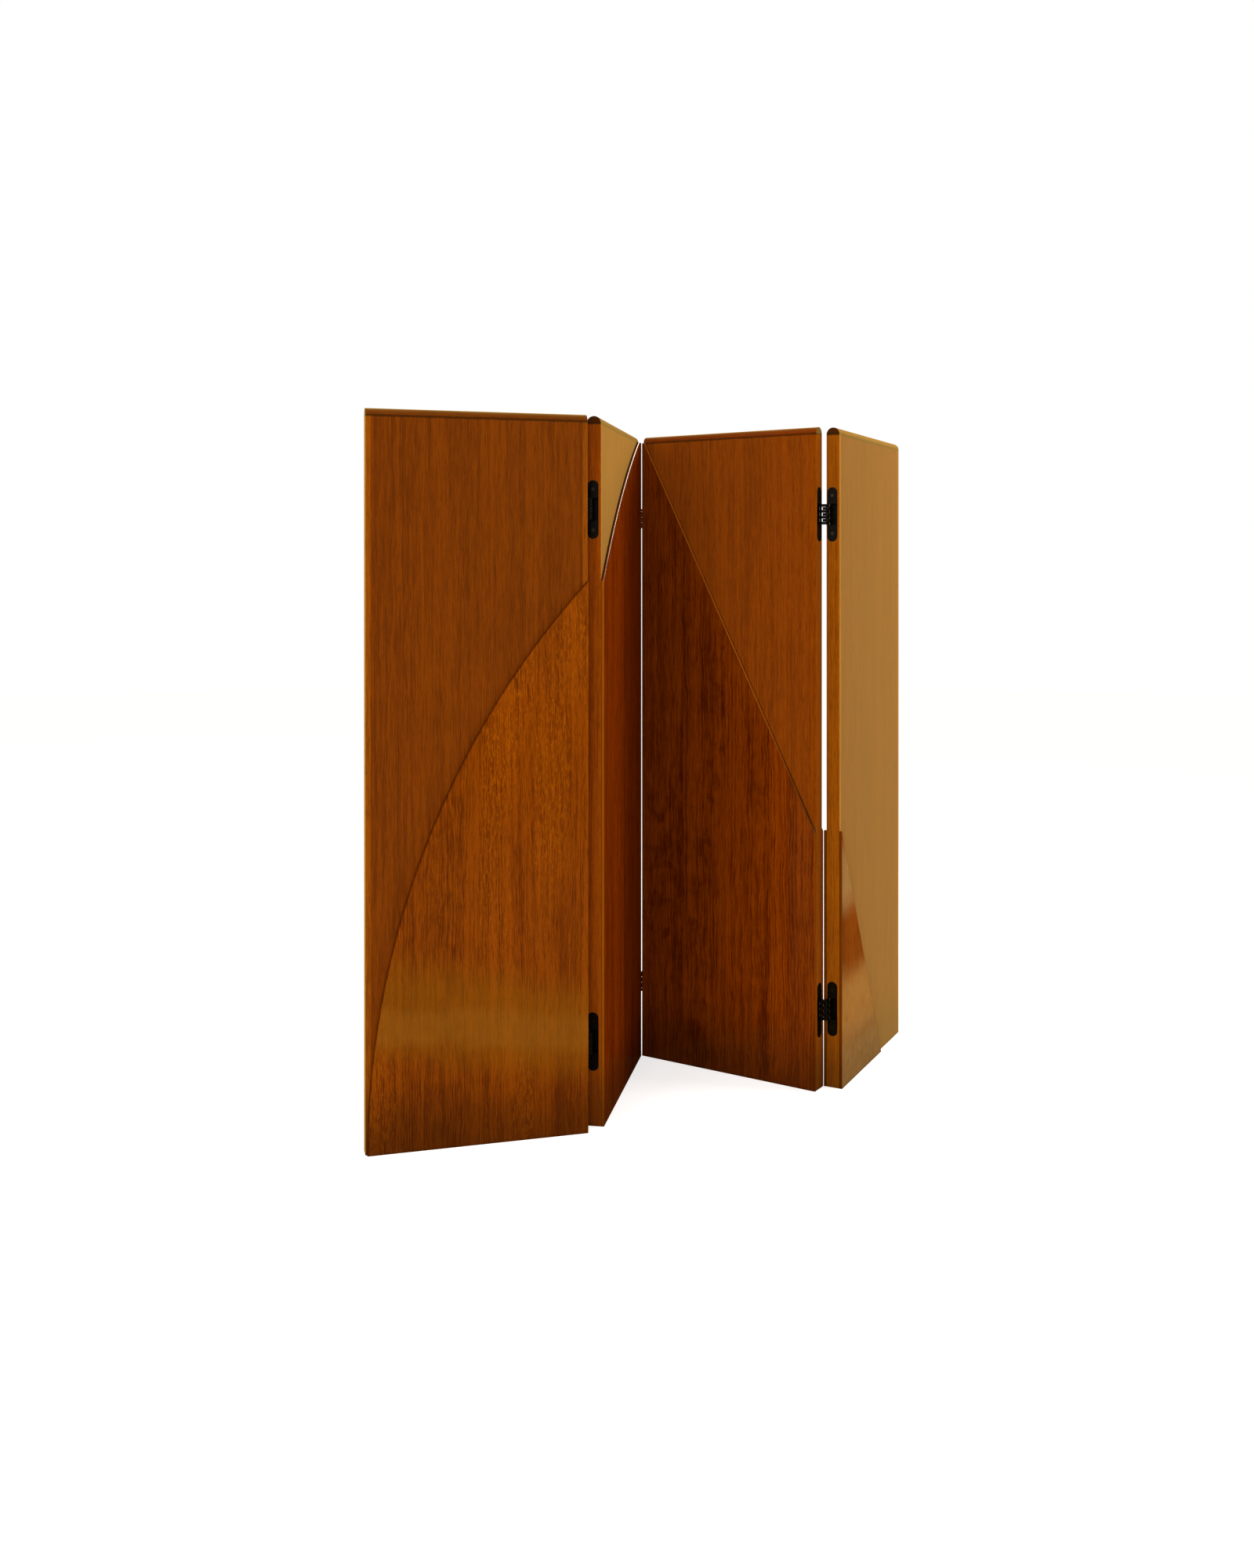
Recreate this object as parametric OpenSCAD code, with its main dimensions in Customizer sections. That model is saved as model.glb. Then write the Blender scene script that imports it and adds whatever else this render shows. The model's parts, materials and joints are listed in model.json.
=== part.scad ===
// Four-panel folding screen. Every panel is a solid board with a half-round
// top rail and raised fields on both faces. Laid flat, the raised fields join
// into one figure: an arc rises over the first two panels, and a straight slope
// falls over the last two. The panels hang together on concealed hinges let
// into their end faces: two crescent link sets, crossed on a centre pin.

/* [Panels] */
// Height of the screen, to the crest of the top rails
screen_h = 1700; // [1200:10:2100]
// Width of one panel
panel_w = 520; // [380:5:700]
// Thickness of a panel between its two veneered faces
board_t = 35; // [34:0.5:45]
// Width of the solid strip that closes each upright end of a board
edge_strip_w = 12; // [8:1:25]
// How far a raised field stands proud of the face
field_t = 7.5; // [3:0.5:9]
// Radius of the rounded rim of a raised field
field_round = 2.5; // [0.5:0.1:2.9]
// Distance from the first panel's left end to the foot of the arc
arc_toe = 4; // [2:1:40]
// Level stretch between the top of the arc and the middle joint
arc_ledge = 30; // [5:1:80]
// Level stretch between the middle joint and the top of the slope
slope_ledge = 8; // [2:1:40]
// Distance from the last panel's left end to the foot of the slope
slope_foot = 332; // [60:1:370]

/* [Stance] */
// Heading of the first panel, seen from above
first_heading = 19; // [-45:1:45]
// Fold between panels 1 and 2, away from flat
fold_1 = 64; // [0:1:120]
// Fold between panels 2 and 3, away from flat, the other way
fold_2 = 112; // [0:1:120]
// Fold between panels 3 and 4, away from flat
fold_3 = 95; // [0:1:120]

/* [Hinges] */
// Height of the centre of the lower hinges above the floor
low_hinge_z = 202; // [120:1:400]
// Distance from the crest down to the centre of the upper hinges
high_hinge_drop = 224; // [150:1:400]
// Length of the round-ended face plate
plate_l = 140; // [130:1:170]
// Width of the face plate
plate_w = 27; // [27:0.5:30]
// Thickness of the face plate
plate_t = 3.2; // [2:0.1:4]
// Distance from the inner side of the fold to the edge of the plate
plate_setback = 2; // [2:0.1:3]
// Depth of the cup behind the face of the plate
cup_depth = 20; // [18:0.5:30]
// Thickness of the cup's long walls
cup_wall = 1.3; // [1:0.1:1.4]
// Thickness of the cup's end walls and floor
cup_end = 3; // [2.5:0.1:5]
// Gap left all round a cup in its mortise
mortise_gap = 0.2; // [0.1:0.05:0.5]
// Thickness of one link
link_t = 7; // [5:0.1:7.2]
// Gap between neighbouring links
link_gap = 0.6; // [0.4:0.05:1]
// Radius of a link's round ends
link_r = 3; // [2.6:0.1:3]
// Half the width of a link's arm, between its round ends
arm_r = 2.7; // [2.2:0.1:2.8]
// Radius of the fixed pins and of the centre pin
pin_r = 1.7; // [1.2:0.1:1.8]
// Gap between the end faces when the screen is opened flat
flat_gap = 1; // [0.8:0.1:2]
// Radius of a screw's shank
screw_r = 2.2; // [1.5:0.1:2.5]
// Radius of a screw's countersunk head
screw_head_r = 4.4; // [3.5:0.1:5]
// Length of a screw
screw_l = 30; // [20:1:45]

/* [Hidden] */
$fn = 64;
PANELS = 4;
JOINTS = 3;
LINKS = 7;
fold = [fold_1, fold_2, fold_3];
// +1 folds towards the back, -1 towards the front
side = [1, -1, 1];

spring_z = screen_h - board_t / 2;
board_w = panel_w - 2 * edge_strip_w;
touch_gap = 0.03;
running_gap = 0.05;
over = 1;

// The arc's centre is level with the floor
arc_run = 2 * panel_w - arc_ledge - arc_toe;
arc_r = (arc_run * arc_run + spring_z * spring_z) / (2 * arc_run);
slope_end = (PANELS - 1) * panel_w + slope_foot;
slope_angle = atan2(spring_z, slope_end - 2 * panel_w - slope_ledge);

hinge_z = [low_hinge_z, screen_h - high_hinge_drop];
link_pitch = link_t + link_gap;
stack_l = LINKS * link_pitch - link_gap;
pocket_l = stack_l + 2;
// Thicker fields need longer links to pass each other, and so a wider plate
field_share = 1.2;
bare_plate_w = 18;
hinge_w = max(plate_w, bare_plate_w + field_share * field_t);
pocket_w = hinge_w - 2 * cup_wall;
cup_l = pocket_l + 2 * cup_end;
screw_z = (cup_l / 2 + plate_l / 2 - 2) / 2;
pin_l = pocket_l + 2 * (cup_end - 1);

// Hinge geometry in an end's own frame: x leaves the end face, y runs from
// the inner side of the fold across the thickness.
fixed_x = -3.5;
fixed_y = plate_setback + cup_wall + link_r + 0.7;
flat_centre_y = plate_setback + hinge_w - cup_wall - link_r - 0.4;
link_share = 0.9;
link_len = norm([flat_gap / 2 - fixed_x, flat_centre_y - fixed_y]);
flat_link_angle = atan2(flat_centre_y - fixed_y, flat_gap / 2 - fixed_x);
link_bulge = 3;
link_curve_r = (link_len * link_len / 4 + link_bulge * link_bulge) / (2 * link_bulge);
nose_len = 7;
nose_angle = -87;

function link_angle(a) = flat_link_angle - link_share * a;
function centre_pin(a) =
    [fixed_x + link_len * cos(link_angle(a)), fixed_y + link_len * sin(link_angle(a))];
// Distance from an end's inner corner to the plane midway between two panels
function half_spread(a) =
    centre_pin(a) * [cos(a / 2), -sin(a / 2)];

function turned(p, a) = [p[0] * cos(a) - p[1] * sin(a), p[0] * sin(a) + p[1] * cos(a)];
function heading(i) = i == 0 ? first_heading : heading(i - 1) + side[i - 1] * fold[i - 1];
// Each panel's origin is the middle of its left end; the chain starts at zero
function chain_start(i) =
    i == 0 ? [0, 0] :
    let(s = side[i - 1], a = fold[i - 1])
    chain_start(i - 1)
    + turned([panel_w, s * board_t / 2], heading(i - 1))
    + turned(2 * half_spread(a) * [cos(a / 2), s * sin(a / 2)], heading(i - 1))
    - turned([0, s * board_t / 2], heading(i));

half_depth = board_t / 2 + field_t;
corners = [
    for (i = [0:PANELS - 1], u = [0, panel_w], v = [-half_depth, half_depth])
        chain_start(i) + turned([u, v], heading(i))
];
xs = [for (c = corners) c[0]];
ys = [for (c = corners) c[1]];
middle = [(min(xs) + max(xs)) / 2, (min(ys) + max(ys)) / 2];
function panel_start(i) = chain_start(i) - middle;

// ---- Frames -------------------------------------------------------------

module on_panel(i) {
    translate([panel_start(i)[0], panel_start(i)[1], 0])
        rotate([0, 0, heading(i)])
            children();
}

// An end's frame: x leaves the end face, y starts at the inner side of fold s
module on_right_end(s) {
    translate([panel_w, s * board_t / 2, 0])
        mirror([0, s > 0 ? 1 : 0, 0])
            children();
}

module on_left_end(s) {
    translate([0, s * board_t / 2, 0])
        mirror([1, 0, 0])
            mirror([0, s > 0 ? 1 : 0, 0])
                children();
}

// The left half of joint j is on the panel before it, the right half after it
module on_joint_left(j) {
    on_panel(j - 1)
        on_right_end(side[j - 1])
            children();
}

module on_joint_right(j) {
    on_panel(j)
        on_left_end(side[j - 1])
            children();
}

// Every end of panel i that carries hinges
module at_hinged_ends(i) {
    if (i < PANELS - 1)
        on_right_end(side[i])
            children();
    if (i > 0)
        on_left_end(side[i - 1])
            children();
}

// ---- Hinge cups, pins and links, in an end's frame -----------------------

// Round-ended plate lying in the end face, grown by a margin, depth into x < 0
module plate_shape(margin, depth) {
    reach = plate_l / 2 - hinge_w / 2;
    mid_y = plate_setback + hinge_w / 2;
    translate([-depth, mid_y, 0])
        rotate([90, 0, 90]) {
            linear_extrude(depth)
                union() {
                    square([hinge_w + 2 * margin, 2 * reach], center = true);
                    for (e = [-1, 1])
                        translate([0, e * reach])
                            circle(r = hinge_w / 2 + margin);
                }
        }
}

module cup_block(margin, depth) {
    translate([-depth, plate_setback - margin, -cup_l / 2 - margin])
        cube([depth, hinge_w + 2 * margin, cup_l + 2 * margin]);
}

module screw_shape(gap) {
    sink = screw_head_r - screw_r;
    for (e = [-1, 1])
        translate([0, plate_setback + hinge_w / 2, e * screw_z])
            rotate([0, -90, 0]) {
                cylinder(h = screw_l + gap, r = screw_r + gap);
                cylinder(h = sink + gap, r1 = screw_head_r + gap, r2 = screw_r + gap);
            }
}

// Everything that is cut out of an end for one hinge
module mortise() {
    translate([over, 0, 0])
        plate_shape(mortise_gap, plate_t + mortise_gap + over);
    translate([over, 0, 0])
        cup_block(mortise_gap, cup_depth + mortise_gap + over);
    screw_shape(touch_gap);
}

module cup() {
    difference() {
        union() {
            plate_shape(0, plate_t);
            cup_block(0, cup_depth);
        }
        translate([-(cup_depth - cup_end), plate_setback + cup_wall, -pocket_l / 2])
            cube([cup_depth - cup_end + over, pocket_w, pocket_l]);
        translate([fixed_x, fixed_y, -pin_l / 2 - touch_gap])
            cylinder(h = pin_l + 2 * touch_gap, r = pin_r + touch_gap);
        screw_shape(touch_gap);
    }
}

module screws() {
    difference() {
        screw_shape(0);
        for (e = [-1, 1])
            translate([-0.9, plate_setback + hinge_w / 2, e * screw_z])
                translate([0, -screw_head_r, -0.5])
                    cube([2, 2 * screw_head_r, 1]);
    }
}

module fixed_pin() {
    translate([fixed_x, fixed_y, -pin_l / 2])
        cylinder(h = pin_l, r = pin_r);
}

// One crescent link seen from above: eye at the origin, eye at link_len along x
// and a round nose past it
module link_outline() {
    half = asin(link_len / 2 / link_curve_r);
    reach = 2 * link_curve_r;
    difference() {
        union() {
            circle(r = link_r);
            translate([link_len, 0])
                circle(r = link_r);
            translate([link_len / 2, link_bulge - link_curve_r])
                intersection() {
                    difference() {
                        circle(r = link_curve_r + arm_r);
                        circle(r = link_curve_r - arm_r);
                    }
                    polygon([
                        [0, 0],
                        [-reach * sin(half), reach * cos(half)],
                        [reach * sin(half), reach * cos(half)]
                    ]);
                }
            translate([link_len, 0])
                rotate(nose_angle) {
                    translate([0, -arm_r])
                        square([nose_len, 2 * arm_r]);
                    translate([nose_len, 0])
                        circle(r = link_r);
                }
        }
        circle(r = pin_r + running_gap);
        translate([link_len, 0])
            circle(r = pin_r + running_gap);
    }
}

// Links of one set: every second place in the stack, from the first place on
module links(a, first) {
    for (n = [first:2:LINKS - 1])
        translate([fixed_x, fixed_y, -stack_l / 2 + n * link_pitch])
            rotate([0, 0, link_angle(a)])
                linear_extrude(link_t)
                    link_outline();
}

module centre_pin_body(a) {
    translate([centre_pin(a)[0], centre_pin(a)[1], -stack_l / 2])
        cylinder(h = stack_l, r = pin_r);
}

module at_both_hinges() {
    for (z = hinge_z)
        translate([0, 0, z])
            children();
}

// ---- Panels, in a panel's frame -------------------------------------------

module cut_for_hinges(i) {
    difference() {
        children();
        at_hinged_ends(i)
            at_both_hinges()
                mortise();
    }
}

module board(i) {
    color("peru")
        cut_for_hinges(i)
            translate([edge_strip_w, -board_t / 2, 0])
                cube([board_w, board_t, spring_z]);
}

module edge_strip(i, right) {
    color("burlywood")
        cut_for_hinges(i)
            translate([right ? panel_w - edge_strip_w : 0, -board_t / 2, 0])
                cube([edge_strip_w, board_t, spring_z]);
}

module top_rail() {
    color("sienna")
        translate([0, 0, spring_z])
            rotate([90, 0, 90])
                linear_extrude(panel_w)
                    intersection() {
                        circle(r = board_t / 2);
                        translate([-board_t, 0])
                            square([2 * board_t, board_t]);
                    }
}

// A strip's section from its middle out to its rim, rounded on the far side
module rim_section(reach) {
    hull() {
        square([reach - field_round, field_t]);
        square([reach, field_t - field_round]);
        translate([reach - field_round, field_t - field_round])
            circle(r = field_round, $fn = 16);
    }
}

// A disc lying in the plane of the screen, with its centre at the origin
module round_disc() {
    rotate([90, 0, 0])
        rotate_extrude($fn = 240)
            rim_section(arc_r);
}

// A slab that lies under the slope, with the same rounded rim
module sloping_slab() {
    length = 1.3 * spring_z;
    translate([slope_end, 0, 0])
        rotate([0, slope_angle - 90, 0])
            rotate([0, 0, -90])
                translate([0, -length, -length / 10])
                    linear_extrude(length)
                        mirror([1, -1, 0])
                            rim_section(length);
}

// The raised field of panel i. The figure is cut at the panel's two ends.
module field(i, back) {
    shades = ["chocolate", "saddlebrown", "brown", "maroon"];
    color(shades[i])
        mirror([0, back ? 1 : 0, 0])
            translate([0, -board_t / 2, 0])
                intersection() {
                    translate([-i * panel_w, 0, 0])
                        if (i < PANELS / 2)
                            translate([arc_toe + arc_r, 0, 0])
                                round_disc();
                        else
                            sloping_slab();
                    translate([0, -field_t - over, 0])
                        cube([panel_w, field_t + over, spring_z]);
                }
}

module hinge_screws(i) {
    color("dimgray")
        at_hinged_ends(i)
            at_both_hinges()
                screws();
}

// ---- Joints ----------------------------------------------------------------

module left_cup(j, k) {
    color("black")
        on_joint_left(j)
            translate([0, 0, hinge_z[k]])
                cup();
}

module right_cup(j, k) {
    color("black")
        on_joint_right(j)
            translate([0, 0, hinge_z[k]])
                cup();
}

module left_links(j) {
    color("dimgray")
        on_joint_left(j)
            at_both_hinges()
                links(fold[j - 1], 0);
}

module right_links(j) {
    color("gray")
        on_joint_right(j)
            at_both_hinges()
                links(fold[j - 1], 1);
}

module left_pins(j) {
    color("silver")
        on_joint_left(j)
            at_both_hinges()
                fixed_pin();
}

module right_pins(j) {
    color("silver")
        on_joint_right(j)
            at_both_hinges()
                fixed_pin();
}

module centre_pins(j) {
    color("silver")
        on_joint_left(j)
            at_both_hinges()
                centre_pin_body(fold[j - 1]);
}

for (i = [0:PANELS - 1]) {
    p = str("panel_", i + 1, "_");
    on_panel(i) {
        board(i);
        top_rail();
        edge_strip(i, false);
        edge_strip(i, true);
        field(i, false);
        field(i, true);
        hinge_screws(i);
    }
}

for (j = [1:JOINTS]) {
    p = str("joint_", j, "_");
    left_cup(j, 0);
    left_cup(j, 1);
    right_cup(j, 0);
    right_cup(j, 1);
    left_links(j);
    right_links(j);
    left_pins(j);
    right_pins(j);
    centre_pins(j);
}
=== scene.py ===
import json
import math

import bmesh
import bpy
from mathutils import Matrix, Vector


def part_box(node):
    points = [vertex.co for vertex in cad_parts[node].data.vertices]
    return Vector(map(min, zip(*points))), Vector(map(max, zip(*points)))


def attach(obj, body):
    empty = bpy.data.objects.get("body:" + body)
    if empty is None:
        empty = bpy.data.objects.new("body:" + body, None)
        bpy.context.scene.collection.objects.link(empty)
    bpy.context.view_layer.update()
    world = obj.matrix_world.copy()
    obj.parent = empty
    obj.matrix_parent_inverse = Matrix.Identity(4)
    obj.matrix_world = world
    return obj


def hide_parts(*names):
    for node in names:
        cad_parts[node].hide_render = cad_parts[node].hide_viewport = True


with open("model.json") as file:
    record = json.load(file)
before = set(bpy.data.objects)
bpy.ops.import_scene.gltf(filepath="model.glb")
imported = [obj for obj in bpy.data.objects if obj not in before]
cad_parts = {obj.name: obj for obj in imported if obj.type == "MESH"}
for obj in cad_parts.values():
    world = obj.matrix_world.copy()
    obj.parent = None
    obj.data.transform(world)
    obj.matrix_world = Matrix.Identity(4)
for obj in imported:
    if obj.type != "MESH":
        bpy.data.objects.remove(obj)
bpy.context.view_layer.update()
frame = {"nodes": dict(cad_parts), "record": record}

# ---- Sizes, in metres -------------------------------------------------------

PANELS = 4
HINGED_JOINTS = 3
# Direction of each panel's length, in degrees about the vertical
HEADINGS = (19.0, 83.0, -29.0, 66.0)

SPRING_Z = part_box("panel_1_board")[1].z
SCREEN_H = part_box("panel_1_top_rail")[1].z
BOARD_T = 2 * (SCREEN_H - SPRING_Z)
PANEL_W = 0.520
HALF_W = PANEL_W / 2
HALF_T = BOARD_T / 2

FIELD_T = 0.0075
RIM_ROUND = 0.0025
# How squarely a facet of the rim may face the front and the side
RIM_FLAT = 0.05
RIM_STEEP = 0.995
ARC_TOE = 0.004
ARC_LEDGE = 0.030
SLOPE_LEDGE = 0.008
SLOPE_FOOT = 0.332
ARC_RUN = 2 * PANEL_W - ARC_LEDGE - ARC_TOE
ARC_R = (ARC_RUN**2 + SPRING_Z**2) / (2 * ARC_RUN)
ARC_CHORDS = 720

RAIL_END_ROUND = 0.0035
RAIL_GROOVE = 0.0014
ARRIS = 0.0006
CASTING_ROUND = 0.0004
CASTING_CREASE = math.radians(35)
ROUND_FACETS = 96
RAIL_END_FACETS = 5
RIM_FACETS = 6
ARRIS_FACETS = 2

SAME_PLACE = 0.00002
CUT_SLACK = 1e-7
LONG_EDGE = 4 * FIELD_T
FLAT_ANGLE = math.radians(1)
# Faces past this area are flat, and edges past this angle are creases
FLAT_AREA = 3e-5
CREASE = math.radians(28)
# Where a field's materials stand in its list, after the field's own wood
RIM_PLACE = 1
WALL_PLACE = 2
FACE_PLACE = 3


def panel_place(i):
    """From a panel's own frame (x along it, y to the back, z up) to the row's."""
    low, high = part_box(f"panel_{i + 1}_board")
    middle = (low + high) / 2
    turn = Matrix.Rotation(math.radians(HEADINGS[i]), 4, "Z")
    return Matrix.Translation((middle.x, middle.y, 0)) @ turn


PLACES = [panel_place(i) for i in range(PANELS)]

# ---- Mesh helpers -----------------------------------------------------------


def everything(bm):
    return bm.verts[:] + bm.edges[:] + bm.faces[:]


def trim(bm, point, outward):
    """Cut away what lies beyond a plane."""
    bmesh.ops.bisect_plane(bm, geom=everything(bm), dist=CUT_SLACK, plane_co=point,
                           plane_no=outward, clear_outer=True)


def soften(bm, edges, width, segments):
    """Round edges over a width."""
    bmesh.ops.bevel(bm, geom=edges, offset=width, offset_type="OFFSET", segments=segments,
                    profile=0.5, affect="EDGES", clamp_overlap=True, material=-1)


def sharp_edges(bm, angle):
    return [e for e in bm.edges if len(e.link_faces) == 2 and e.calc_face_angle() > angle]


def shade(bm):
    """Smooth shading that stops at creases, with large flat faces left flat."""
    for face in bm.faces:
        face.smooth = face.calc_area() < FLAT_AREA
    for edge in bm.edges:
        edge.smooth = len(edge.link_faces) == 2 and edge.calc_face_angle() < CREASE


def finish_piece(name, bm, body, materials, replaces=(), place=None):
    """Turn a bmesh into a named piece on a body of the frame."""
    if place is not None:
        bmesh.ops.transform(bm, matrix=place, verts=bm.verts[:])
    bmesh.ops.recalc_face_normals(bm, faces=bm.faces[:])
    shade(bm)
    mesh = bpy.data.meshes.new(name)
    bm.to_mesh(mesh)
    bm.free()
    piece = bpy.data.objects.new(name, mesh)
    bpy.context.scene.collection.objects.link(piece)
    for material in materials:
        mesh.materials.append(material)
    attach(piece, body)
    if replaces:
        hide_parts(*replaces)
    return piece


def copy_of(node):
    """A CAD node's mesh, merged into whole faces, ready to be changed."""
    bm = bmesh.new()
    bm.from_mesh(frame["nodes"][node].data)
    bmesh.ops.remove_doubles(bm, verts=bm.verts[:], dist=SAME_PLACE)
    bmesh.ops.dissolve_limit(bm, angle_limit=FLAT_ANGLE, verts=bm.verts[:],
                             edges=bm.edges[:])
    return bm


def paint(node, material):
    """Give a CAD node that keeps its own mesh a material."""
    mesh = frame["nodes"][node].data
    mesh.materials.clear()
    mesh.materials.append(material)


# ---- Node helpers -----------------------------------------------------------


def feed(tree, node, inputs):
    """Fill a node's inputs, each with a value or with another node's output."""
    for key, value in inputs.items():
        if isinstance(value, bpy.types.NodeSocket):
            tree.links.new(value, node.inputs[key])
        else:
            node.inputs[key].default_value = value
    return node


def add(tree, kind, inputs=None, **settings):
    """A new node with its settings and inputs."""
    node = tree.nodes.new(kind)
    for key, value in settings.items():
        setattr(node, key, value)
    return feed(tree, node, inputs or {})


def only(tree, kind):
    """The one node of a kind that a new tree starts with."""
    return next(n for n in tree.nodes if n.type == kind)


def maths(tree, operation, a, b=0.0, c=0.0):
    """a and b put together; c is added where the operation takes it."""
    inputs = {0: a, 1: b}
    if operation == "MULTIPLY_ADD":
        inputs[2] = c
    return add(tree, "ShaderNodeMath", inputs, operation=operation).outputs[0]


def mixed(tree, factor, a, b, blend="MIX"):
    """Two colours mixed."""
    node = add(tree, "ShaderNodeMix", {0: factor, 6: a, 7: b}, data_type="RGBA",
               blend_type=blend)
    return node.outputs[2]


def ramped(tree, value, low, high, to_low=0.0, to_high=1.0):
    """A smooth step from one level to another."""
    node = add(tree, "ShaderNodeMapRange", {0: value, 1: low, 2: high, 3: to_low, 4: to_high},
               interpolation_type="SMOOTHSTEP")
    return node.outputs[0]


def stretched(tree, vector, scale):
    """A vector multiplied axis by axis."""
    node = add(tree, "ShaderNodeVectorMath", {0: vector, 1: scale}, operation="MULTIPLY")
    return node.outputs[0]


def noise(tree, vector, scale, detail=2.0, roughness=0.5, distortion=0.0):
    """Noise whose scale is given along each of three axes, per metre."""
    node = add(tree, "ShaderNodeTexNoise",
               {"Vector": stretched(tree, vector, scale), "Scale": 1.0, "Detail": detail,
                "Roughness": roughness, "Distortion": distortion})
    return node.outputs[0]


def new_group(name, inputs, outputs):
    """A shader node group; inputs and outputs are (name, socket kind, default)."""
    tree = bpy.data.node_groups.new(name, "ShaderNodeTree")
    for direction, sockets in (("INPUT", inputs), ("OUTPUT", outputs)):
        for title, kind, default in sockets:
            socket = tree.interface.new_socket(title, in_out=direction,
                                               socket_type=f"NodeSocket{kind}")
            if default is not None:
                socket.default_value = default
    return tree, tree.nodes.new("NodeGroupInput").outputs, tree.nodes.new("NodeGroupOutput").inputs


def place_group(tree, group, inputs):
    """A shared effect with its own values here."""
    node = tree.nodes.new("ShaderNodeGroup")
    node.node_tree = group
    return feed(tree, node, inputs).outputs


# ---- Shared effects ---------------------------------------------------------

# Wood: how fast each pattern changes across the grain (twice) and along it, per metre
CURLS = (9.0, 9.0, 11.0)
QUIVERS = (55.0, 55.0, 62.0)
WANDERS = (2.6, 2.6, 0.7)
RIPPLES = (26.0, 26.0, 3.2)
FINE_FIBRES = (330.0, 330.0, 19.0)
MIDDLE_FIBRES = (130.0, 130.0, 3.2)
BROAD_FIBRES = (34.0, 34.0, 0.9)
CLOUDS = (8.0, 8.0, 3.4)
FLAMES = (6.0, 6.0, 1.2)
WAVES = (26.0, 26.0, 20.0)
PORE_DASHES = (760.0, 760.0, 52.0)
PORE_HAIRS = (2300.0, 2300.0, 120.0)
RAY_PATCHES = (6.0, 6.0, 1.6)
RAY_FLECKS = (330.0, 330.0, 52.0)
# How far apart in the log two staves are cut, in metres, and how seeds number the logs
LOG_SHIFT = (3.0, 5.0, 7.0)
LOG_STEP = 17.3
QUIVER_SHARE = 0.16
RING_SLANT = 0.6
RIPPLE_DEPTH = 0.0022
LATE_SHARPNESS = 3.2
FINE_SHARE = 0.46
MIDDLE_SHARE = 0.32
BROAD_SHARE = 0.22
HAIR_SHARE = 0.6
RAY_SHARE = 0.6
RAY_LIFT = (1.3, 1.5, 1.6, 1.0)
PORE_SHARE = 0.6
SEAM_CORE = 0.0001
SEAM_REACH = 0.0005
SEAM_SHARE = 0.45
# Surfaces: the same, along x, y and z
WORN_EDGES = (260.0, 260.0, 38.0)
SCUFFS = (60.0, 60.0, 60.0)
FOOT_SHADE_EDGE = (9.0, 9.0, 4.0)
DIRT_PATCHES = (70.0, 70.0, 70.0)
BAND_DRIFT = (2.2, 2.2, 2.6)
BAND_MOTTLE = (38.0, 38.0, 30.0)
SKIN_WAVES = (14.0, 14.0, 6.0)
SKIN_PEEL = (420.0, 420.0, 300.0)
SKIN_HAZE = (5.0, 5.0, 3.0)
# Heights in metres: where the foot's painted shade is full, where it ends, how it and a painted
# band wander
FOOT_SHADE_FULL = 0.02
FOOT_SHADE_TOP = 0.20
FOOT_SHADE_WANDER = 0.12
BAND_WANDER = 0.16
WEAR_INNER = -0.0006
WEAR_OUTER = 0.0008
SCUFF_FADE = 0.012


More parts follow.
